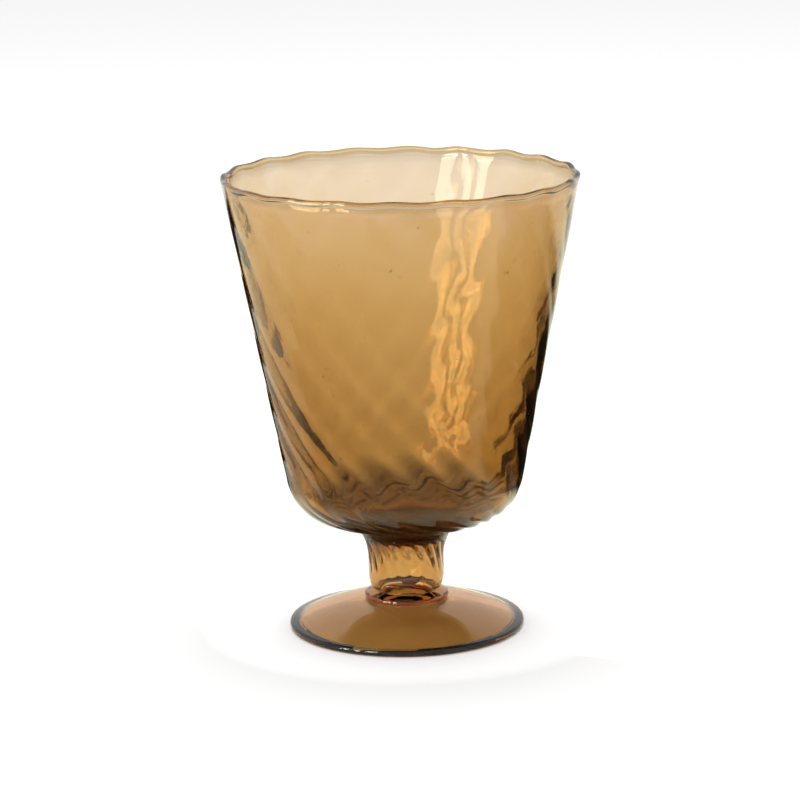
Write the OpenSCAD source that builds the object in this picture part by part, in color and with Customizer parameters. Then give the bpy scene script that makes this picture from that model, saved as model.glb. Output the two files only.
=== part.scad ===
// Footed goblet of blown amber glass, in four hot-joined pieces.
// Origin: centre of the resting ring, on the table. +Z is up, along the axis of turning.
// Every piece is one outline in the radius-height plane, turned about +Z.
// The walls here are the mean surfaces between the crests and hollows of the swirled ribs.

/* [Overall] */
// Height from the table to the top of the lip
total_h = 140; // [132:1:150]
// Diameter over the lip
rim_d = 107.4; // [102:0.2:112]
// Diameter of the foot over its rounded edge
foot_d = 72; // [66:0.5:78]

/* [Bowl] */
// Angle of the straight wall from upright, in degrees
wall_lean = 10.9; // [10:0.1:12]
// Thickness of the wall just under the lip
wall_t = 1.1; // [0.9:0.1:1.4]
// Extra lean of the inner wall, which thickens the wall downwards, in degrees
wall_taper = 0.9; // [0.6:0.1:1.1]
// Radius of the round section of the fire-polished lip
lip_r = 0.95; // [0.9:0.05:1.2]
// Height below the lip's middle over which its bead runs into the inner wall
lip_blend = 2.4; // [2:0.1:3]
// Radius of the turn from wall to bottom, outside
turn_r = 15; // [12:0.5:17]
// Height at which the bottom's slope, carried on, would meet the axis
bottom_z = 28.4; // [28:0.1:29]
// Slope of the bottom outside, in degrees
bottom_slope = 14; // [12:0.5:16]
// Height of the bowl's floor inside, at the axis
floor_z = 33.6; // [33:0.1:35]
// Radius of the turn from wall to floor, inside
inner_turn_r = 12; // [9:0.5:13]
// Slope of the floor inside, in degrees
floor_slope = 8; // [6:0.5:10]
// Rise of the shallow dome in the bowl's underside, over the stem's bore
crown_rise = 2.6; // [1.5:0.1:3]

/* [Stem] */
// Diameter of the stem's straight middle
stem_d = 23; // [21:0.5:25]
// Thickness of the stem's wall
stem_t = 2.1; // [1.6:0.1:2.6]
// Height of the joint between stem and bowl
stem_top_z = 27.7; // [27:0.1:28.5]
// Radius of the flare at the stem's top
flare_r = 15.3; // [12:0.1:20]
// Height where the flare begins
flare_z = 22; // [21.5:0.1:22.5]
// Radius of the rounding at the stem's foot end
heel_r = 7; // [6:0.1:9]
// Height where that rounding begins
heel_z = 16; // [15.5:0.1:16.5]

/* [Collar] */
// Diameter of the collar
collar_d = 25.8; // [25:0.1:27]
// Radius of the collar's rounded edge
collar_edge_r = 1.1; // [0.8:0.1:1.3]
// Height of the joint between collar and stem
collar_top_z = 12.2; // [12:0.1:12.6]
// Depth of the cup in the collar's top, the round end of the stem's bore
cup_depth = 2.7; // [2.4:0.1:2.8]
// Radius of the cup's turn from side to floor
cup_turn_r = 1.8; // [1.2:0.1:2.2]

/* [Foot] */
// Height of the joint between foot and collar
foot_h = 8.8; // [8.4:0.1:9.4]
// Radius of the foot's domed top
dome_r = 80; // [75:1:90]
// Thickness of the foot's glass
foot_t = 3; // [2.5:0.1:3.5]
// Radius of the foot's rounded edge
foot_edge_r = 1.2; // [1:0.1:1.4]
// Radius of the ground pontil mark under the foot
pontil_r = 7; // [5:0.5:9]
// Depth of the pontil mark at its middle
pontil_depth = 0.4; // [0.2:0.1:0.6]

/* [Hidden] */
$fn = 96;
arc_steps = 8;

rim_r = rim_d / 2;
foot_r = foot_d / 2;
collar_r = collar_d / 2;
stem_r = stem_d / 2;
bore_r = stem_r - stem_t;

// Points along an arc about c, from angle a1 to angle a2
function arc(c, r, a1, a2, n = arc_steps) =
    [for (i = [0:n]) let (a = a1 + (a2 - a1) * i / n) c + r * [cos(a), sin(a)]];

// Radius of the ball whose cap is base_r wide and height tall
function cap_ball(base_r, height) = (base_r * base_r + height * height) / (2 * height);

// Points of a shallow cap on a flat base at c, from the axis to base_r
function cap(c, base_r, rise) =
    let (
        ball_r = cap_ball(base_r, rise),
        half = asin(base_r / ball_r)
    ) arc(c + [0, rise - ball_r], ball_r, 90, 90 - half);

// Centre of a circle of radius r that touches a leaning wall and a sloping floor.
// The wall passes through (wall_r, wall_z); the floor meets the axis at axis_z.
function turn_centre(wall_r, wall_z, lean, axis_z, slope, r) =
    let (
        x = (wall_r + (axis_z + r / cos(slope) - wall_z) * tan(lean) - r / cos(lean))
            / (1 - tan(slope) * tan(lean))
    ) [x, axis_z + x * tan(slope) + r / cos(slope)];

// The lip is a round bead whose outside is flush with the wall
lip_c = [rim_r - lip_r, total_h - lip_r];
outer_lip = lip_c + lip_r * [cos(wall_lean), -sin(wall_lean)];
inner_lean = wall_lean + wall_taper;
inner_lip = lip_c + [lip_r * cos(wall_lean) - wall_t / cos(wall_lean), 0];
inner_start = inner_lip - lip_blend * [tan(inner_lean), 1];

// Turns between wall and bottom, outside and inside. The inner one hollows the other way.
turn_c = turn_centre(outer_lip.x, outer_lip.y, wall_lean, bottom_z, bottom_slope, turn_r);
inner_c = turn_centre(inner_lip.x, inner_lip.y, inner_lean, floor_z, floor_slope, inner_turn_r);

// The neck's flare ends leaning flare_lean from upright, where the bowl's fillet takes over
flare_lean = asin((stem_top_z - flare_z) / flare_r);
neck_r = stem_r + flare_r * (1 - cos(flare_lean));
bottom_end = turn_c + turn_r * [sin(bottom_slope), -cos(bottom_slope)];
neck_drop = bottom_end.y - stem_top_z - (bottom_end.x - neck_r) * tan(bottom_slope);
fillet_r = neck_drop / (cos(bottom_slope) - sin(flare_lean)
    - (cos(flare_lean) - sin(bottom_slope)) * tan(bottom_slope));
fillet_c = [neck_r + fillet_r * cos(flare_lean), stem_top_z - fillet_r * sin(flare_lean)];

heel_lean = asin((heel_z - collar_top_z) / heel_r);
heel_end_r = stem_r - heel_r * (1 - cos(heel_lean));
collar_bore_r = heel_end_r - stem_t;

dome_c = [0, foot_h - sqrt(dome_r * dome_r - collar_r * collar_r)];

module bowl() {
    color([0.76, 0.55, 0.25, 0.6])
        rotate_extrude()
            polygon(concat(
                cap([0, stem_top_z], bore_r, crown_rise),
                [[neck_r, stem_top_z]],
                arc(fillet_c, fillet_r, 180 - flare_lean, 90 + bottom_slope),
                arc(turn_c, turn_r, bottom_slope - 90, -wall_lean),
                arc(lip_c, lip_r, -wall_lean, 235, 2 * arc_steps),
                [inner_start],
                arc(inner_c, inner_turn_r, -inner_lean, floor_slope - 90),
                [[0, floor_z]]
            ));
}

module stem() {
    color([0.72, 0.52, 0.22, 0.6])
        rotate_extrude()
            polygon(concat(
                arc([stem_r - heel_r, heel_z], heel_r, -heel_lean, 0),
                arc([stem_r + flare_r, flare_z], flare_r, 180, 180 - flare_lean),
                [[bore_r, stem_top_z]],
                arc([bore_r - heel_r, heel_z], heel_r, 0, -heel_lean)
            ));
}

module collar() {
    edge_c = [collar_r - collar_edge_r, foot_h + collar_edge_r];
    cup_z = collar_top_z - cup_depth;
    color([0.55, 0.38, 0.18, 0.7])
        rotate_extrude()
            polygon(concat(
                [[0, foot_h]],
                arc(edge_c, collar_edge_r, -90, 45),
                [[heel_end_r, collar_top_z]],
                [[collar_bore_r, collar_top_z]],
                arc([collar_bore_r - cup_turn_r, cup_z + cup_turn_r], cup_turn_r, 0, -90),
                [[0, cup_z]]
            ));
}

module foot() {
    edge_c = [foot_r - foot_edge_r, foot_edge_r];
    edge_angle = atan2(edge_c.y - dome_c.y, edge_c.x);
    seat_angle = asin((foot_h - dome_c.y) / dome_r);
    under_r = dome_r - foot_t;
    rest_angle = asin(-dome_c.y / under_r);
    pontil_ball_r = cap_ball(pontil_r, pontil_depth);
    under_apex_z = dome_c.y + under_r;
    color([0.62, 0.38, 0.12, 0.8])
        difference() {
            rotate_extrude()
                polygon(concat(
                    arc(dome_c, under_r, 90, rest_angle),
                    arc(edge_c, foot_edge_r, -90, edge_angle),
                    arc(dome_c, dome_r, edge_angle, seat_angle),
                    [[0, foot_h]]
                ));
            translate([0, 0, under_apex_z + pontil_depth - pontil_ball_r])
                sphere(r = pontil_ball_r);
        }
}

bowl();
stem();
collar();
foot();
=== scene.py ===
"""Footed goblet of hand-blown amber glass: the looks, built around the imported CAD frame.

Lengths are in metres and angles in radians, unless a name or comment says degrees. +Z is up, and
the goblet stands on the floor at z = 0, facing -Y. Each of its four pieces is a skin of glass: an
outline in the radius-height plane is spun about +Z, then its vertices are pushed in and out to
give the twisted ribs, the wavy lip and the ripples that blowing leaves. The skins are closed, but
for the stem's, which has a ring left open in its foot joint.
"""

import math
import random

import bmesh
import bpy
from mathutils import Matrix, Vector, noise


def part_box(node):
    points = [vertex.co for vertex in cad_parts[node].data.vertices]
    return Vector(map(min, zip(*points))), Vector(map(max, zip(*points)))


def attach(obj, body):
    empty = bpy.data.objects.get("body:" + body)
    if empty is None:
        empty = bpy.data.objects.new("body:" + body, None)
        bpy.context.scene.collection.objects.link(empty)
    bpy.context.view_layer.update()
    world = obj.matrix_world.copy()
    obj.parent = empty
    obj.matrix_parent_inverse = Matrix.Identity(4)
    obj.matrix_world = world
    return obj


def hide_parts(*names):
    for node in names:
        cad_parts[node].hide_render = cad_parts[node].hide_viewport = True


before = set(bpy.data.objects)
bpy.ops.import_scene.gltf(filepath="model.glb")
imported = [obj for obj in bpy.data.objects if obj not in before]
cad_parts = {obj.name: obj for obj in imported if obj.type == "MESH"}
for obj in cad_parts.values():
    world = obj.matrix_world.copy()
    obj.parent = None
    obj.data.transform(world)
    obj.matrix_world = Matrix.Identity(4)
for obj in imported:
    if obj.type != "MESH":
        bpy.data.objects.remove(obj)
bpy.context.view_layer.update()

MM = 0.001
TAU = 2 * math.pi
rad = math.radians

# Sizes shared with the CAD frame
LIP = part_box("bowl")[1].x
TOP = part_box("bowl")[1].z
STEM_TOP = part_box("stem")[1].z
COLLAR_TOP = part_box("collar")[1].z
COLLAR_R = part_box("collar")[1].x
FOOT_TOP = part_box("foot")[1].z
FOOT_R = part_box("foot")[1].x

WALL_LEAN = rad(10.9)
INNER_LEAN = rad(11.8)
WALL_T = 1.1 * MM
LIP_BEAD = 0.95 * MM
LIP_BLEND = 2.4 * MM
TURN_R = 15 * MM
BOTTOM_AXIS_Z = 28.4 * MM
BOTTOM_SLOPE = rad(14)
INNER_TURN_R = 12 * MM
FLOOR_AXIS_Z = 33.6 * MM
FLOOR_SLOPE = rad(8)
CROWN_RISE = 2.6 * MM

STEM_R = 11.5 * MM
STEM_WALL = 2.1 * MM
FLARE_R = 15.3 * MM
FLARE_Z = 22 * MM
HEEL_R = 7 * MM
HEEL_Z = 16 * MM
COLLAR_EDGE = 1.1 * MM
CUP_DEPTH = 2.7 * MM
CUP_TURN = 1.8 * MM

DOME_R = 80 * MM
FOOT_T = 3 * MM
FOOT_EDGE = 1.2 * MM
PONTIL_R = 7 * MM
PONTIL_DEPTH = 0.4 * MM

# The fused joints are left this far open, so that no two faces share one place
JOINT_GAP = 0.01 * MM

# Mesh steps
SPIN_STEPS = 360
ARC_STEP = 0.6 * MM
LINE_STEP = 1.8 * MM

# The ribs that the twisted mould left: their number, their twist on the wall and on the bottom,
# which meet at BEND_R, and half their height at the lip, on the wall, under the bowl and at the neck
RIBS = 20
BEND_R = 36 * MM
TWIST_RATE = 169 * MM
BOTTOM_TWIST = 60 * MM
LIP_RIB = 0.08 * MM
WALL_RIB = 0.12 * MM
BOTTOM_RIB = 0.38 * MM
NECK_RIB = 0.30 * MM
# Share of a rib's height that shows inside
INSIDE_SHARE = 0.5
# Heights of the lip's waves and of the ripples in the walls
LIP_WAVE = 0.38 * MM
INSIDE_RIPPLE = 0.08 * MM
OUTSIDE_RIPPLE = 0.04 * MM
FINE_RIPPLE = 0.028 * MM
FLOOR_RIPPLE = 0.03 * MM
SEEDS = 90

# The colour in the glass's depth, and how dense it is, fitted piece by piece to the look. One batch
# of real glass would have one recipe.
GLASS_COLOUR = (0.809, 0.605, 0.144)
COLLAR_COLOUR = (0.66, 0.64, 0.20)
FOOT_COLOUR = (0.97, 0.66, 0.03)
BOWL_DENSITY = 560.0
STEM_DENSITY = 620.0
COLLAR_DENSITY = 110.0
FOOT_DENSITY = 235.0
# What its skin lets through: on the walls and in the cords; and painted shade, in the stem's blister
# and in a dark band low on the bowl, between the heights given
SKIN_COLOUR = (0.945, 0.89, 0.89)
CORD_COLOUR = (0.78, 0.58, 0.34)
BLISTER_SHADE = (0.30, 0.11, 0.05)
PAINTED_BOTTOM_SHADE = (0.155, 0.105, 0.065)
BOTTOM_BAND = (34 * MM, 46 * MM)
BOTTOM_END = (30 * MM, 33 * MM)

# Camera
CAMERA_DISTANCE = 0.9956
CAMERA_HEIGHT = 0.2989
CAMERA_LENS = 151.6
CAMERA_PITCH = rad(12.92)
CAMERA_YAW = rad(0.063)
CAMERA_ROLL = -0.016

# Sky: how bright it is behind everything, on the floor, and through the glass low down and high up
BACKDROP = 1.0
FLOOR_LIGHT = 1.26
SKY_LOW = 1.0
SKY_HIGH = 0.35
SKY_BREAK = (rad(43), rad(49))

# Floor
FLOOR_R = 6.0
FLOOR_WHITE = 0.86
# How bright the floor is in the glass, at distances in metres: painted shade round the goblet. Where
# this is over 1, next to the foot, it is painted light, and the floor is that much whiter when seen
# directly too, which weakens the foot's contact shadow.
FLOOR_SHADE = ((0.06, 1.16), (0.10, 1.0), (0.125, 0.55), (0.20, 0.60), (0.30, 0.72), (0.50, 0.86),
               (0.80, 0.95), (0.95, 0.86))
SHADE_REACH = 1.0
# Amber cast that the goblet throws on that floor, and the distances over which it fades
FLOOR_CAST = (1.0, 0.99, 0.77)
CAST_FADE = (0.45, 0.75)
# Dark sectors of painted shade on that floor: from and to as bearings in degrees, from and to in
# metres, how dark, and by how many degrees a metre the far side swings, about SWING_MIDDLE
DARK_SECTORS = ((-22, 64, 0.10, 0.37, 1.0, 30), (107, 124, 0.13, 0.62, 1.0, 0),
                (-110, -65, 0.25, 0.60, 1.0, 0), (-178, -35, 0.05, 0.25, 0.55, 0))
SWING_MIDDLE = 0.45
# Half the width of their soft sides in degrees, and of their soft near and far ends
SIDE_BLUR = 1.5
NEAR_BLUR = 0.04
FAR_BLUR = 0.03
OPEN_FLOOR = 1.02

# Window panes, as bearings in degrees: how far off, how high, how bright, and the heights over which
# they fade to a share of that
WINDOW_PANES = ((204, 213), (218, 225), (231, 242))
WINDOW_RADIUS = 0.5
WINDOW_FOOT = 0.001
WINDOW_TOP = 0.3
WINDOW_COLOUR = (0.95, 1.0, 0.92)
WINDOW_STRENGTH = 14.0
WINDOW_FADE = (0.13, 0.25)
WINDOW_REST = 0.3

# Overhead lamp: bearing and height in degrees, distance, width and depth, power in watts
OVERHEAD = (100, 80, 1.2, (1.2, 1.2), 9)


# ---------------------------------------------------------------- outlines

def arc(centre, radius, start, end, step=ARC_STEP):
    """Points (r, z) along an arc about centre, from one angle to the other."""
    count = max(3, round(abs(end - start) * radius / step))
    angles = [start + (end - start) * i / count for i in range(count + 1)]
    return [centre + radius * Vector((math.cos(a), math.sin(a))) for a in angles]


def line(start, end, step=LINE_STEP):
    """Points (r, z) between start and end, without the end points."""
    count = max(1, round((end - start).length / step))
    return [start.lerp(end, i / count) for i in range(1, count)]


def turn_centre(on_wall, lean, axis_z, slope, radius):
    """Centre of the circle that touches a leaning wall and a floor that slopes to the axis."""
    lift = axis_z + radius / math.cos(slope)
    reach = on_wall.x + (lift - on_wall.y) * math.tan(lean) - radius / math.cos(lean)
    x = reach / (1 - math.tan(slope) * math.tan(lean))
    return Vector((x, lift + x * math.tan(slope)))


def cap(base_z, base_r, rise, step=ARC_STEP):
    """Points of a shallow cap, from the axis out to base_r."""
    ball = (base_r ** 2 + rise ** 2) / (2 * rise)
    half = math.asin(base_r / ball)
    return arc(Vector((0, base_z + rise - ball)), ball, math.pi / 2, math.pi / 2 - half, step)


def unit(angle):
    """The direction (r, z) at an angle above outwards."""
    return Vector((math.cos(angle), math.sin(angle)))


STEM_BORE = STEM_R - STEM_WALL
flare_lean = math.asin((STEM_TOP - FLARE_Z) / FLARE_R)
NECK_R = STEM_R + FLARE_R * (1 - math.cos(flare_lean))
heel_lean = math.asin((HEEL_Z - COLLAR_TOP) / HEEL_R)
HEEL_END = STEM_R - HEEL_R * (1 - math.cos(heel_lean))

lip_centre = Vector((LIP - LIP_BEAD, TOP - LIP_BEAD))
outer_lip = lip_centre + LIP_BEAD * unit(-WALL_LEAN)
inner_lip = lip_centre + Vector((LIP_BEAD * math.cos(WALL_LEAN) - WALL_T / math.cos(WALL_LEAN), 0))
inner_start = inner_lip - LIP_BLEND * Vector((math.tan(INNER_LEAN), 1))
turn = turn_centre(outer_lip, WALL_LEAN, BOTTOM_AXIS_Z, BOTTOM_SLOPE, TURN_R)
inner_turn = turn_centre(inner_lip, INNER_LEAN, FLOOR_AXIS_Z, FLOOR_SLOPE, INNER_TURN_R)


def neck_fillet():
    """Centre and radius of the fillet that runs the neck's flare into the bowl's bottom."""
    bottom_end = turn + TURN_R * unit(BOTTOM_SLOPE - math.pi / 2)
    drop = bottom_end.y - STEM_TOP - (bottom_end.x - NECK_R) * math.tan(BOTTOM_SLOPE)
    radius = drop / (math.cos(BOTTOM_SLOPE) - math.sin(flare_lean)
                     - (math.cos(flare_lean) - math.sin(BOTTOM_SLOPE)) * math.tan(BOTTOM_SLOPE))
    centre = Vector((NECK_R, STEM_TOP)) + radius * Vector((math.cos(flare_lean), -math.sin(flare_lean)))
    return centre, radius


def bowl_outline():
    """Runs from the crown over the stem's bore, round the outside, over the lip and down inside."""
    centre, radius = neck_fillet()
    fillet = arc(centre, radius, math.pi - flare_lean, math.pi / 2 + BOTTOM_SLOPE)
    outer_turn = arc(turn, TURN_R, BOTTOM_SLOPE - math.pi / 2, -WALL_LEAN)
    bead = arc(lip_centre, LIP_BEAD, -WALL_LEAN, rad(235), 0.2 * MM)
    floor_turn = arc(inner_turn, INNER_TURN_R, -INNER_LEAN, FLOOR_SLOPE - math.pi / 2)
    floor_middle = Vector((0, FLOOR_AXIS_Z))
    return [
        ("crown", cap(STEM_TOP, STEM_BORE, CROWN_RISE, 1.2 * MM)),
        ("joint", line(Vector((STEM_BORE, STEM_TOP)), fillet[0], 1 * MM)),
        ("outside", fillet + line(fillet[-1], outer_turn[0]) + outer_turn),
        ("outside", line(outer_turn[-1], bead[0])),
        ("lip", bead),
        ("inside", line(bead[-1], inner_start, 0.4 * MM) + [inner_start]),
        ("inside", line(inner_start, floor_turn[0]) + floor_turn),
        ("inside", line(floor_turn[-1], floor_middle) + [floor_middle]),
    ]


def stem_outline():
    """A flared tube: up the outside, over the top joint, down the bore, over the foot joint.

    The last point stops short of the first, which leaves a ring open in the foot joint.
    """
    heel = arc(Vector((STEM_R - HEEL_R, HEEL_Z)), HEEL_R, -heel_lean, 0)
    flare = arc(Vector((STEM_R + FLARE_R, FLARE_Z)), FLARE_R, math.pi, math.pi - flare_lean)
    bore_heel = arc(Vector((STEM_BORE - HEEL_R, HEEL_Z)), HEEL_R, 0, -heel_lean)
    bore_top = Vector((STEM_BORE, STEM_TOP))
    outside = heel + line(heel[-1], flare[0], 0.6 * MM) + flare
    inside = line(bore_top, bore_heel[0], 0.6 * MM) + bore_heel
    return [
        ("outside", outside),
        ("joint", line(flare[-1], bore_top, 1 * MM) + [bore_top]),
        ("inside", inside),
        ("joint", line(bore_heel[-1], heel[0], 1 * MM)),
    ]


def collar_outline():
    """A wafer with a rounded edge; the round end of the stem's bore is sunk in its top."""
    edge_centre = Vector((COLLAR_R - COLLAR_EDGE, FOOT_TOP + COLLAR_EDGE))
    edge = arc(edge_centre, COLLAR_EDGE, -math.pi / 2, math.pi / 4, 0.15 * MM)
    heel = Vector((HEEL_END, COLLAR_TOP))
    cup_edge = Vector((HEEL_END - STEM_WALL, COLLAR_TOP))
    cup_middle = Vector((0, COLLAR_TOP - CUP_DEPTH))
    cup_turn = arc(Vector((cup_edge.x - CUP_TURN, cup_middle.y + CUP_TURN)), CUP_TURN, 0, -math.pi / 2)
    middle = Vector((0, FOOT_TOP))
    return [
        ("joint", [middle] + line(middle, edge[0], 1.5 * MM)),
        ("outside", edge + line(edge[-1], heel, 0.3 * MM) + [heel]),
        ("joint", line(heel, cup_edge, 1 * MM)),
        ("inside", [cup_edge] + cup_turn + line(cup_turn[-1], cup_middle) + [cup_middle]),
    ]


def foot_outline():
    """A domed disc, hollow underneath, with a rounded edge and a narrow ring that it rests on."""
    dome = Vector((0, FOOT_TOP - math.sqrt(DOME_R ** 2 - COLLAR_R ** 2)))
    under_r = DOME_R - FOOT_T
    edge_centre = Vector((FOOT_R - FOOT_EDGE, FOOT_EDGE))
    edge_angle = math.atan2(edge_centre.y - dome.y, edge_centre.x)
    seat_angle = math.asin((FOOT_TOP - dome.y) / DOME_R)
    rest_angle = math.asin(-dome.y / under_r)
    under = arc(dome, under_r, math.pi / 2, rest_angle, 0.9 * MM)
    edge = arc(edge_centre, FOOT_EDGE, -math.pi / 2, edge_angle, 0.15 * MM)
    top = arc(dome, DOME_R, edge_angle, seat_angle, 0.9 * MM)
    seat_edge = Vector((COLLAR_R - COLLAR_EDGE, FOOT_TOP))
    seat = Vector((0, FOOT_TOP))
    return [
        ("under", under),
        ("rest", line(under[-1], edge[0], 0.6 * MM)),
        ("edge", edge),
        ("top", top[1:] + [seat_edge]),
        ("joint", line(seat_edge, seat, 1.5 * MM) + [seat]),
    ]


# ---------------------------------------------------------------- skins of revolution

def spun_skin(outline):
    """Spins an outline of named stretches about +Z into a mesh that keeps the names."""
    mesh = bmesh.new()
    stretch_of = mesh.verts.layers.int.new("stretch")
    names = sorted({name for name, _ in outline})
    verts = []
    for name, points in outline:
        for p in points:
            vert = mesh.verts.new((max(p.x, 0), 0, p.y))
            vert[stretch_of] = names.index(name)
            verts.append(vert)
    edges = [mesh.edges.new(pair) for pair in zip(verts, verts[1:])]
    bmesh.ops.spin(mesh, geom=verts + edges, cent=(0, 0, 0), axis=(0, 0, 1), dvec=(0, 0, 0),
                   angle=TAU, steps=SPIN_STEPS, use_merge=True, use_duplicate=False)
    bmesh.ops.remove_doubles(mesh, verts=mesh.verts, dist=0.001 * MM)
    bmesh.ops.recalc_face_normals(mesh, faces=mesh.faces)
    stretches = {v: names[v[stretch_of]] for v in mesh.verts}
    return mesh, stretches


def smooth_step(low, high, x):
    """0 at low and 1 at high, eased at both ends; low may be the larger."""
    t = min(max((x - low) / (high - low), 0), 1)
    return t * t * (3 - 2 * t)


def twist_at(r, z):
    """How far the ribs have turned at a place on the goblet, counted from the lip."""
    if z < STEM_TOP:
        drop = min((STEM_TOP - z) / MM, 12)
        return twist_at(NECK_R, STEM_TOP) + 0.06 * (drop - drop * drop / 24)
    on_wall = max(r, BEND_R)
    on_bottom = min(r, BEND_R)
    return TWIST_RATE * (1 / on_wall - 1 / LIP) + BOTTOM_TWIST * (1 / on_bottom - 1 / BEND_R)


def rib_wave(angle, r, z):
    """Height of the rib pattern, from -1 in a groove to 1 on a crest; crests are rounded."""
    turned = angle - twist_at(r, z)
    drift = 0.35 * noise.noise(Vector((3 * math.cos(turned), 3 * math.sin(turned), z * 7)))
    phase = RIBS * turned / 2 + drift
    lobe = 2 * abs(math.cos(phase)) - 1.27
    soft = math.cos(2 * phase)
    strength = 1 + 0.7 * noise.noise(Vector((2 * math.cos(turned), 2 * math.sin(turned), 7 + z * 4)))
    return strength * (0.75 * lobe + 0.25 * soft)


def ripple(place, scale, seed):
    """Smooth random waviness, about one wave to a length of scale."""
    return noise.noise(Vector(place) / scale + Vector((seed, 2.7 * seed, 5.1 * seed)))


def lip_wave(angle):
    """The lip's rise and fall over the ribs' ends, as a height."""
    around = Vector((math.cos(angle), math.sin(angle), 0))
    size = 0.55 + 0.9 * abs(noise.noise(around * 2.2 + Vector((4, 0, 0))))
    slow = 0.25 * noise.noise(around * 1.3 + Vector((0, 9, 0)))
    return LIP_WAVE * (size * math.cos(RIBS * angle + 1.1) + slow)


def rib_depth(z):
    """Half the height of the ribs outside: shallow by the lip, deep under the bowl."""
    if z < STEM_TOP:
        return NECK_RIB * smooth_step(-12 * MM, 0, z - STEM_TOP)
    wall = LIP_RIB + (WALL_RIB - LIP_RIB) * smooth_step(TOP, 60 * MM, z)
    under = smooth_step(43 * MM, 34 * MM, z)
    deep = NECK_RIB + (BOTTOM_RIB - NECK_RIB) * smooth_step(0, 4 * MM, z - STEM_TOP)
    return wall + (deep - wall) * under


def blow_bowl(mesh, stretches):
    """Gives the bowl its ribs, ripples and wavy lip."""
    mesh.normal_update()
    moves = []
    for vert in mesh.verts:
        x, y, z = vert.co
        r = math.hypot(x, y)
        stretch = stretches[vert]
        if stretch == "joint" or r < 0.01 * MM:
            continue
        angle = math.atan2(y, x)
        outward = Vector((x / r, y / r, 0))
        if stretch == "crown":
            depth = 0.1 * MM * ripple(vert.co, 6 * MM, 3) * smooth_step(STEM_BORE, 6 * MM, r)
        elif stretch == "inside":
            outer_r = r + WALL_T
            level = smooth_step(0, 14 * MM, r)
            share = INSIDE_SHARE * level * min(rib_depth(z), WALL_RIB)
            depth = -share * rib_wave(angle + 0.05, outer_r, z)
            depth += INSIDE_RIPPLE * ripple(vert.co, 11 * MM, 1)
            depth += FINE_RIPPLE * ripple(vert.co, 5 * MM, 2)
            depth += FLOOR_RIPPLE * ripple(vert.co, 2.5 * MM, 8) * smooth_step(56 * MM, 44 * MM, z)
        else:
            near_joint = smooth_step(0, 2 * MM, z - STEM_TOP)
            depth = rib_depth(z) * rib_wave(angle, r, z) * (0.7 + 0.3 * near_joint)
            depth += near_joint * OUTSIDE_RIPPLE * ripple(vert.co, 14 * MM, 5)
        direction = outward if z < STEM_TOP + 0.01 * MM else vert.normal
        fade = smooth_step(9 * MM, 0, TOP - z)
        rise = lip_wave(angle) * fade
        spread = 0.4 * lip_wave(angle + 1.9) * fade
        moves.append((vert, direction * depth + Vector((0, 0, rise)) + outward * spread))
    for vert, move in moves:
        vert.co += move


def blow_stem(mesh, stretches):
    """Carries the bowl's ribs down the stem's top and lets them fade."""
    mesh.normal_update()
    moves = []
    for vert in mesh.verts:
        x, y, z = vert.co
        r = math.hypot(x, y)
        angle = math.atan2(y, x)
        stretch = stretches[vert]
        from_joint = min(STEM_TOP - z, z - COLLAR_TOP)
        held = smooth_step(0, 1.5 * MM, from_joint)
        if stretch == "joint":
            continue
        if stretch == "inside":
            depth = -INSIDE_SHARE * rib_depth(z) * rib_wave(angle, r, z)
            depth += 0.06 * MM * ripple(vert.co, 5 * MM, 11)
            moves.append((vert, vert.normal * depth * held))
        else:
            depth = rib_depth(z) * rib_wave(angle, r, z) * (0.7 + 0.3 * held)
            depth += held * 0.08 * MM * ripple(vert.co, 7 * MM, 12)
            direction = Vector((x / r, y / r, 0)) if from_joint < 0.01 * MM else vert.normal
            moves.append((vert, direction * depth))
    for vert, move in moves:
        vert.co += move


def settle_collar(mesh, stretches):
    """Leaves the collar's edge a little uneven, as a pressed wafer is."""
    mesh.normal_update()
    for vert in mesh.verts:
        if stretches[vert] != "joint" and vert.co.z < COLLAR_TOP - 0.1 * MM:
            held = smooth_step(0, 0.8 * MM, COLLAR_TOP - vert.co.z)
            vert.co += vert.normal * held * 0.07 * MM * ripple(vert.co, 5 * MM, 21)


def settle_foot(mesh, stretches):
    """Hollows the pontil mark, and leaves the slow unevenness of a foot shaped by hand."""
    mesh.normal_update()
    ball = (PONTIL_R ** 2 + PONTIL_DEPTH ** 2) / (2 * PONTIL_DEPTH)
    for vert in mesh.verts:
        r = math.hypot(vert.co.x, vert.co.y)
        stretch = stretches[vert]
        if stretch == "joint" or stretch == "rest":
            continue
        if stretch == "under":
            vert.co.z += 0.05 * MM * ripple(vert.co, 15 * MM, 31)
            if r < PONTIL_R:
                vert.co.z += math.sqrt(ball ** 2 - r ** 2) - (ball - PONTIL_DEPTH)
                vert.co.z += 0.04 * MM * ripple(vert.co, 1.5 * MM, 32)
        elif stretch == "top":
            held = smooth_step(COLLAR_R, COLLAR_R + 3 * MM, r)
            vert.co.z += held * 0.06 * MM * ripple(vert.co, 18 * MM, 33)


def seed_bubbles(mesh, count, rng):
    """Closes small voids into the bowl's wall: the seeds that stay in hand-blown glass."""
    for _ in range(count):
        z = rng.uniform(46 * MM, 136 * MM)
        angle = rng.uniform(0, TAU)
        wall_r = LIP - (TOP - z) * math.tan(WALL_LEAN) - rng.uniform(0.7, 1.1) * MM
        size = rng.choice([0.10, 0.12, 0.14, 0.17, 0.22]) * MM
        length = rng.choice([1, 1.2, 1.6, 2.6])
        add_bubble(mesh, wall_r, angle, z, (size * 0.8, size, size * length), rng.uniform(-0.9, 0.2))


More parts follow.
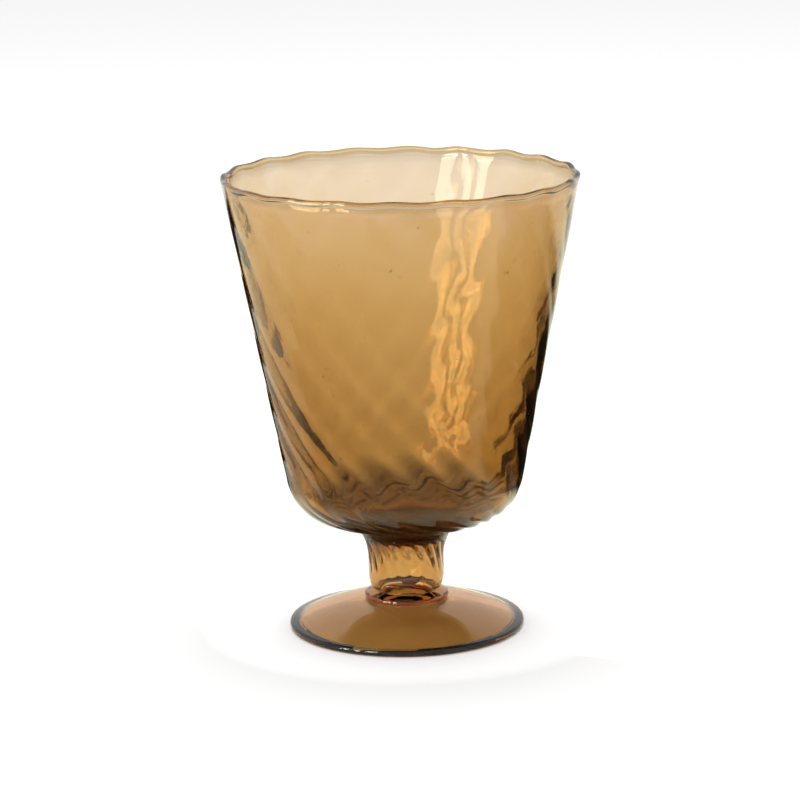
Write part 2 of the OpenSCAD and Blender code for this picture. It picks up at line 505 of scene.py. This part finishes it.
def add_bubble(mesh, r, angle, z, radii, lean):
    """One void: a small ball, stretched, leaning with the twist, with its faces turned inwards."""
    place = (Matrix.Rotation(angle, 4, "Z") @ Matrix.Translation((r, 0, z))
             @ Matrix.Rotation(WALL_LEAN, 4, "Y") @ Matrix.Rotation(lean, 4, "X")
             @ Matrix.Diagonal((*radii, 1)))
    rounds = 2 if max(radii) > 1 * MM else 1
    ball = bmesh.ops.create_icosphere(mesh, subdivisions=rounds, radius=1, matrix=place)
    faces = {face for vert in ball["verts"] for face in vert.link_faces}
    bmesh.ops.reverse_faces(mesh, faces=list(faces))
    return faces


def add_blister(mesh):
    """The flat oval blister in the front of the stem's wall, with a small seed beside it."""
    wall_r = STEM_R - STEM_WALL / 2
    shade_mark = mesh.faces.layers.float.new("shade_mark")
    faces = add_bubble(mesh, wall_r, rad(277), 16.6 * MM, (0.5 * MM, 2.7 * MM, 1.5 * MM), 0.12)
    faces |= add_bubble(mesh, wall_r, rad(254), 17.2 * MM, (0.3 * MM, 0.45 * MM, 0.3 * MM), 0.0)
    # Their faces are marked for painted shade: the dark red-brown that the blister shows
    for face in faces:
        face[shade_mark] = 1.0


def joint_side(face):
    """1 or -1 for a face of a fused joint that looks up or down, and 0 for any other face."""
    if abs(face.normal.z) < 0.9999:
        return 0
    middle = face.calc_center_median()
    on_seat = math.hypot(middle.x, middle.y) < COLLAR_R - COLLAR_EDGE
    heights = [STEM_TOP, COLLAR_TOP] + ([FOOT_TOP] if on_seat else [])
    if min(abs(middle.z - height) for height in heights) > 0.01 * MM:
        return 0
    return math.copysign(1, face.normal.z)


def finish_piece(mesh, name, node):
    """Makes the mesh an object that stands for its CAD node, smooth but for the joint edges."""
    mesh.normal_update()
    fused = mesh.faces.layers.float.new("fused")
    lowered = {}
    for face in mesh.faces:
        face.smooth = True
        side = joint_side(face)
        face[fused] = abs(side)
        if side:
            lowered.update({vert: side * JOINT_GAP / 2 for vert in face.verts})
    for vert, drop in lowered.items():
        vert.co.z -= drop
    for edge in mesh.edges:
        if len(edge.link_faces) == 2 and edge.link_faces[0][fused] != edge.link_faces[1][fused]:
            edge.smooth = False
    data = bpy.data.meshes.new(name)
    mesh.to_mesh(data)
    mesh.free()
    piece = bpy.data.objects.new(name, data)
    bpy.context.scene.collection.objects.link(piece)
    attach(piece, "root")
    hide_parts(node)
    return piece


# ---------------------------------------------------------------- glass

def new_group(name, inputs, outputs):
    """A shader node group with named sockets, given as (name, type, default)."""
    group = bpy.data.node_groups.new(name, "ShaderNodeTree")
    for label, kind, default in inputs:
        socket = group.interface.new_socket(name=label, in_out="INPUT", socket_type=kind)
        socket.default_value = default
    for label, kind in outputs:
        group.interface.new_socket(name=label, in_out="OUTPUT", socket_type=kind)
    return group, group.nodes.new("NodeGroupInput"), group.nodes.new("NodeGroupOutput")


def add(tree, kind, **settings):
    """A node with its properties set."""
    node = tree.nodes.new(kind)
    for key, value in settings.items():
        setattr(node, key, value)
    return node


def noise_field(tree, place, scale, detail=2.0, distortion=0.0):
    """A noise texture's value at a place."""
    field = add(tree, "ShaderNodeTexNoise")
    field.inputs["Scale"].default_value = scale
    field.inputs["Detail"].default_value = detail
    field.inputs["Distortion"].default_value = distortion
    tree.links.new(place, field.inputs["Vector"])
    return field.outputs["Fac"]


def remap(tree, value, low, high, to_low=0.0, to_high=1.0):
    """The value carried from one range to another, eased at both ends."""
    ramp = add(tree, "ShaderNodeMapRange", interpolation_type="SMOOTHSTEP")
    labels = ("From Min", "From Max", "To Min", "To Max")
    for label, number in zip(labels, (low, high, to_low, to_high)):
        ramp.inputs[label].default_value = number
    tree.links.new(value, ramp.inputs["Value"])
    return ramp.outputs["Result"]


def maths(tree, operation, *values):
    """The output of a maths node whose inputs are numbers or other outputs."""
    node = add(tree, "ShaderNodeMath", operation=operation)
    for socket, value in zip(node.inputs, values):
        if isinstance(value, (int, float)):
            socket.default_value = value
        else:
            tree.links.new(value, socket)
    return node.outputs[0]


def cords_and_shade_group():
    """Colour of the skin, with cords: streaks that the twist drew out; and painted shade that darkens
    it low on the bowl.
    """
    group, given, out = new_group("cords", [
        ("Place", "NodeSocketVector", (0, 0, 0)), ("Strength", "NodeSocketFloat", 0.1)],
        [("Tint", "NodeSocketColor")])
    stretch = add(group, "ShaderNodeMapping")
    stretch.inputs["Rotation"].default_value = (rad(38), rad(20), 0)
    stretch.inputs["Scale"].default_value = (1, 1, 0.25)
    group.links.new(given.outputs["Place"], stretch.inputs["Vector"])
    streaks = noise_field(group, stretch.outputs["Vector"], 90, 3, 0.6)
    clouds = noise_field(group, given.outputs["Place"], 25, 1)
    depth = maths(group, "MULTIPLY", maths(group, "ADD", streaks, clouds), given.outputs["Strength"])
    blend = add(group, "ShaderNodeMix", data_type="RGBA")
    blend.inputs["A"].default_value = (*SKIN_COLOUR, 1)
    blend.inputs["B"].default_value = (*CORD_COLOUR, 1)
    group.links.new(depth, blend.inputs["Factor"])
    # Painted shade: a dark band low on the bowl, fading out above and below
    split = add(group, "ShaderNodeSeparateXYZ")
    group.links.new(given.outputs["Place"], split.inputs["Vector"])
    above = remap(group, split.outputs["Z"], *BOTTOM_END)
    low = maths(group, "MULTIPLY", remap(group, split.outputs["Z"], *BOTTOM_BAND, 1, 0), above)
    painted_shade = add(group, "ShaderNodeMix", data_type="RGBA")
    group.links.new(low, painted_shade.inputs["Factor"])
    group.links.new(blend.outputs["Result"], painted_shade.inputs["A"])
    painted_shade.inputs["B"].default_value = (*PAINTED_BOTTOM_SHADE, 1)
    group.links.new(painted_shade.outputs["Result"], out.inputs["Tint"])
    return group


def handling_group():
    """Roughness of handled glass: clean polish, faint smears, and dust specks of a third of a mm."""
    group, given, out = new_group("handling", [
        ("Place", "NodeSocketVector", (0, 0, 0)), ("Smears", "NodeSocketFloat", 0.05),
        ("Dust", "NodeSocketFloat", 0.5)],
        [("Roughness", "NodeSocketFloat")])
    smears = remap(group, noise_field(group, given.outputs["Place"], 60, 4, 1.2), 0.58, 0.75)
    smears = maths(group, "MULTIPLY", smears, given.outputs["Smears"])
    specks = add(group, "ShaderNodeTexVoronoi", feature="F1")
    specks.inputs["Scale"].default_value = 260
    group.links.new(given.outputs["Place"], specks.inputs["Vector"])
    dots = remap(group, specks.outputs["Distance"], 0.04, 0.07, 1, 0)
    sparse = remap(group, noise_field(group, given.outputs["Place"], 120, 0), 0.60, 0.66)
    dust = maths(group, "MULTIPLY", maths(group, "MULTIPLY", dots, sparse), given.outputs["Dust"])
    group.links.new(maths(group, "MAXIMUM", smears, dust), out.inputs["Roughness"])
    return group


def ripple_group():
    """Height of the fine waviness that a hot glass skin keeps, finer than the mesh."""
    group, given, out = new_group("fire_ripple", [
        ("Place", "NodeSocketVector", (0, 0, 0)), ("Scale", "NodeSocketFloat", 220.0)],
        [("Height", "NodeSocketFloat")])
    field = add(group, "ShaderNodeTexNoise")
    field.inputs["Detail"].default_value = 1.5
    field.inputs["Distortion"].default_value = 0.8
    group.links.new(given.outputs["Place"], field.inputs["Vector"])
    group.links.new(given.outputs["Scale"], field.inputs["Scale"])
    group.links.new(field.outputs["Fac"], out.inputs["Height"])
    return group


def place_group(tree, group, place, **values):
    """A group node at a place in Object coordinates, with its other inputs set."""
    node = add(tree, "ShaderNodeGroup", node_tree=group)
    tree.links.new(place, node.inputs["Place"])
    for label, value in values.items():
        node.inputs[label].default_value = value
    return node


def amber_glass(name, groups, colour, density, cords, smears, dust, ripple_height, ripple_scale):
    """Clear amber glass. The colour is in its depth, with painted shade on its skin; the joint faces
    bend no light.
    """
    material = bpy.data.materials.new(name)
    material.use_nodes = True
    tree = material.node_tree
    tree.nodes.clear()
    out = add(tree, "ShaderNodeOutputMaterial")
    glass = add(tree, "ShaderNodeBsdfPrincipled")
    glass.inputs["Metallic"].default_value = 0.0
    glass.inputs["Transmission Weight"].default_value = 1.0
    place = add(tree, "ShaderNodeTexCoord").outputs["Object"]
    fused = add(tree, "ShaderNodeAttribute", attribute_name="fused").outputs["Fac"]
    skin = maths(tree, "SUBTRACT", 1.0, fused)

    # The skin's colour carries painted shade: the dark band low on the bowl, and the blister's marked
    # faces in dark red-brown
    tint = place_group(tree, groups["cords"], place, Strength=cords)
    shaded_skin = add(tree, "ShaderNodeMix", data_type="RGBA")
    shade_mark = add(tree, "ShaderNodeAttribute", attribute_name="shade_mark").outputs["Fac"]
    tree.links.new(shade_mark, shaded_skin.inputs["Factor"])
    tree.links.new(tint.outputs["Tint"], shaded_skin.inputs["A"])
    shaded_skin.inputs["B"].default_value = (*BLISTER_SHADE, 1)
    tree.links.new(shaded_skin.outputs["Result"], glass.inputs["Base Color"])
    wear = place_group(tree, groups["handling"], place, Smears=smears, Dust=dust)
    tree.links.new(maths(tree, "MULTIPLY", wear.outputs["Roughness"], skin), glass.inputs["Roughness"])
    waves = place_group(tree, groups["fire_ripple"], place, Scale=ripple_scale)
    bump = add(tree, "ShaderNodeBump")
    bump.inputs["Distance"].default_value = ripple_height
    tree.links.new(waves.outputs["Height"], bump.inputs["Height"])
    tree.links.new(skin, bump.inputs["Strength"])
    tree.links.new(bump.outputs["Normal"], glass.inputs["Normal"])
    tree.links.new(maths(tree, "MULTIPLY_ADD", skin, 0.5, 1.0), glass.inputs["IOR"])
    tree.links.new(glass.outputs["BSDF"], out.inputs["Surface"])

    depth = add(tree, "ShaderNodeVolumeAbsorption")
    depth.inputs["Color"].default_value = (*colour, 1)
    depth.inputs["Density"].default_value = density
    tree.links.new(depth.outputs["Volume"], out.inputs["Volume"])
    return material


# ---------------------------------------------------------------- studio

def window_light(name):
    """A plain glowing surface that fades towards its top."""
    material = bpy.data.materials.new(name)
    material.use_nodes = True
    tree = material.node_tree
    tree.nodes.clear()
    out = add(tree, "ShaderNodeOutputMaterial")
    glow = add(tree, "ShaderNodeEmission")
    glow.inputs["Color"].default_value = (*WINDOW_COLOUR, 1)
    split = add(tree, "ShaderNodeSeparateXYZ")
    tree.links.new(add(tree, "ShaderNodeTexCoord").outputs["Object"], split.inputs["Vector"])
    level = remap(tree, split.outputs["Z"], *WINDOW_FADE,
                  WINDOW_STRENGTH, WINDOW_REST * WINDOW_STRENGTH)
    tree.links.new(level, glow.inputs["Strength"])
    tree.links.new(glow.outputs["Emission"], out.inputs["Surface"])
    return material


def curved_panel(name, side, start_deg, end_deg, material):
    """A panel bent about the goblet's axis, seen only in the glass and never by the camera."""
    mesh = bmesh.new()
    begin = Matrix.Rotation(rad(start_deg), 3, "Z")
    ends = [mesh.verts.new(begin @ point) for point in side]
    edge = mesh.edges.new(ends)
    steps = max(2, round((end_deg - start_deg) / 5))
    bmesh.ops.spin(mesh, geom=ends + [edge], cent=(0, 0, 0), axis=(0, 0, 1), dvec=(0, 0, 0),
                   angle=rad(end_deg - start_deg), steps=steps, use_merge=False, use_duplicate=False)
    data = bpy.data.meshes.new(name)
    mesh.to_mesh(data)
    mesh.free()
    data.materials.append(material)
    panel = bpy.data.objects.new(name, data)
    bpy.context.scene.collection.objects.link(panel)
    panel.visible_camera = False
    panel.visible_diffuse = False
    panel.visible_shadow = False


def floor_shade(tree):
    """How bright the floor looks through the glass, and the distance from the goblet's middle."""
    place = add(tree, "ShaderNodeTexCoord").outputs["Object"]
    split = add(tree, "ShaderNodeSeparateXYZ")
    tree.links.new(place, split.inputs["Vector"])
    bearing = maths(tree, "DEGREES", maths(tree, "ARCTAN2", split.outputs["Y"], split.outputs["X"]))
    length = add(tree, "ShaderNodeVectorMath", operation="LENGTH")
    tree.links.new(place, length.inputs[0])
    distance = length.outputs["Value"]
    dark = 0.0
    for start, end, near, far, depth, swing in DARK_SECTORS:
        turned = maths(tree, "MULTIPLY", maths(tree, "SUBTRACT", distance, SWING_MIDDLE), swing)
        swung = maths(tree, "ADD", bearing, turned)
        across = maths(tree, "MULTIPLY", remap(tree, bearing, start - SIDE_BLUR, start + SIDE_BLUR),
                       remap(tree, swung, end - SIDE_BLUR, end + SIDE_BLUR, 1, 0))
        along = maths(tree, "MULTIPLY", remap(tree, distance, near, near + NEAR_BLUR),
                      remap(tree, distance, far - FAR_BLUR, far + FAR_BLUR, 1, 0))
        patch = maths(tree, "MULTIPLY", maths(tree, "MULTIPLY", across, along), depth)
        dark = maths(tree, "MAXIMUM", patch, dark)
    ring = add(tree, "ShaderNodeValToRGB")
    tree.links.new(maths(tree, "DIVIDE", distance, SHADE_REACH), ring.inputs["Fac"])
    stops = ring.color_ramp.elements
    while len(stops) < len(FLOOR_SHADE):
        stops.new(1.0)
    for stop, (reach, level) in zip(stops, FLOOR_SHADE):
        stop.position = reach / SHADE_REACH
        stop.color = (level, level, level, 1)
    level = maths(tree, "MULTIPLY", ring.outputs["Color"], maths(tree, "SUBTRACT", OPEN_FLOOR, dark))
    return level, distance


def lay_floor():
    """A wide pale floor: white when seen directly, shaded and tinted when seen in the glass."""
    mesh = bmesh.new()
    bmesh.ops.create_circle(mesh, cap_ends=True, segments=96, radius=FLOOR_R)
    data = bpy.data.meshes.new("floor")
    mesh.to_mesh(data)
    mesh.free()
    material = bpy.data.materials.new("pale_floor")
    material.use_nodes = True
    tree = material.node_tree
    surface = tree.nodes["Principled BSDF"]
    straight = add(tree, "ShaderNodeLightPath").outputs["Is Camera Ray"]
    level, distance = floor_shade(tree)
    level = maths(tree, "MULTIPLY", maths(tree, "MAXIMUM", level, straight), FLOOR_WHITE)
    paint = add(tree, "ShaderNodeCombineColor")
    for label, cast in zip(("Red", "Green", "Blue"), FLOOR_CAST):
        tint = maths(tree, "MAXIMUM", remap(tree, distance, *CAST_FADE, cast, 1), straight)
        tree.links.new(maths(tree, "MULTIPLY", level, tint), paint.inputs[label])
    tree.links.new(paint.outputs["Color"], surface.inputs["Base Color"])
    surface.inputs["Roughness"].default_value = 0.9
    surface.inputs["Specular IOR Level"].default_value = 0.0
    data.materials.append(material)
    floor = bpy.data.objects.new("floor", data)
    bpy.context.scene.collection.objects.link(floor)


def light_sky():
    """Pale light from all round, dimmer overhead; white behind everything that the camera sees."""
    world = bpy.data.worlds.new("studio")
    bpy.context.scene.world = world
    world.use_nodes = True
    tree = world.node_tree
    tree.nodes.clear()
    out = add(tree, "ShaderNodeOutputWorld")
    sky = add(tree, "ShaderNodeBackground")
    direction = add(tree, "ShaderNodeTexCoord").outputs["Generated"]
    split = add(tree, "ShaderNodeSeparateXYZ")
    tree.links.new(direction, split.inputs["Vector"])
    level = remap(tree, split.outputs["Z"], math.sin(SKY_BREAK[0]),
                  math.sin(SKY_BREAK[1]), SKY_LOW, SKY_HIGH)
    path = add(tree, "ShaderNodeLightPath")
    for ray, strength in (("Is Diffuse Ray", FLOOR_LIGHT), ("Is Camera Ray", BACKDROP)):
        chosen = add(tree, "ShaderNodeMix", data_type="FLOAT")
        tree.links.new(path.outputs[ray], chosen.inputs["Factor"])
        tree.links.new(level, chosen.inputs["A"])
        chosen.inputs["B"].default_value = strength
        level = chosen.outputs["Result"]
    tree.links.new(level, sky.inputs["Strength"])
    world.cycles.sampling_method = "NONE"
    tree.links.new(sky.outputs["Background"], out.inputs["Surface"])


def hang_lamp(name, bearing_deg, height_deg, distance, size, power):
    """A rectangular soft light aimed at the middle of the goblet."""
    lamp = bpy.data.lights.new(name, "AREA")
    lamp.shape = "RECTANGLE"
    lamp.size, lamp.size_y = size
    lamp.energy = power
    holder = bpy.data.objects.new(name, lamp)
    bpy.context.scene.collection.objects.link(holder)
    bearing, lift = rad(bearing_deg), rad(height_deg)
    target = Vector((0, 0, TOP / 2))
    level = math.cos(lift)
    offset = distance * Vector((math.cos(bearing) * level, math.sin(bearing) * level, math.sin(lift)))
    holder.location = target + offset
    holder.rotation_euler = (-offset).to_track_quat("-Z", "Y").to_euler()
    holder.visible_camera = False
    holder.visible_glossy = False
    holder.visible_transmission = False


def place_camera():
    """A long lens a little above the lip, leaning slightly, as the goblet was looked at."""
    camera = bpy.data.cameras.new("camera")
    camera.sensor_width = 36
    camera.lens = CAMERA_LENS
    camera.clip_end = 50
    holder = bpy.data.objects.new("camera", camera)
    bpy.context.scene.collection.objects.link(holder)
    turn_to = Matrix.Rotation(CAMERA_YAW, 4, "Z") @ Matrix.Rotation(math.pi / 2 - CAMERA_PITCH, 4, "X")
    holder.matrix_world = (Matrix.Translation((0, -CAMERA_DISTANCE, CAMERA_HEIGHT))
                           @ turn_to @ Matrix.Rotation(CAMERA_ROLL, 4, "Z"))
    bpy.context.scene.camera = holder


# ---------------------------------------------------------------- making

place_camera()
light_sky()
lay_floor()
bpy.context.scene.view_settings.view_transform = "Standard"

daylight = window_light("daylight")
for number, (start, end) in enumerate(WINDOW_PANES):
    edge = Vector((WINDOW_RADIUS, 0, WINDOW_FOOT)), Vector((WINDOW_RADIUS, 0, WINDOW_TOP))
    curved_panel(f"window_pane_{number}", edge, start, end, daylight)
hang_lamp("overhead", *OVERHEAD)

shared = {"cords": cords_and_shade_group(), "handling": handling_group(), "fire_ripple": ripple_group()}

skin, stretches = spun_skin(bowl_outline())
blow_bowl(skin, stretches)
seed_bubbles(skin, SEEDS, random.Random(7))
bowl = finish_piece(skin, "glass_bowl", "bowl")
bowl_glass = amber_glass("amber_bowl", shared, GLASS_COLOUR, BOWL_DENSITY,
                         0.10, 0.05, 0.5, 0.02 * MM, 260)
bowl.data.materials.append(bowl_glass)

skin, stretches = spun_skin(stem_outline())
blow_stem(skin, stretches)
add_blister(skin)
stem = finish_piece(skin, "glass_stem", "stem")
stem_glass = amber_glass("amber_stem", shared, GLASS_COLOUR, STEM_DENSITY,
                         0.08, 0.04, 0.5, 0.02 * MM, 300)
stem.data.materials.append(stem_glass)

skin, stretches = spun_skin(collar_outline())
settle_collar(skin, stretches)
collar = finish_piece(skin, "glass_collar", "collar")
collar_glass = amber_glass("amber_collar", shared, COLLAR_COLOUR, COLLAR_DENSITY,
                           0.10, 0.02, 0.3, 0.01 * MM, 300)
collar.data.materials.append(collar_glass)

skin, stretches = spun_skin(foot_outline())
settle_foot(skin, stretches)
foot = finish_piece(skin, "glass_foot", "foot")
foot_glass = amber_glass("amber_foot", shared, FOOT_COLOUR, FOOT_DENSITY,
                         0.12, 0.06, 0.8, 0.01 * MM, 120)
foot.data.materials.append(foot_glass)
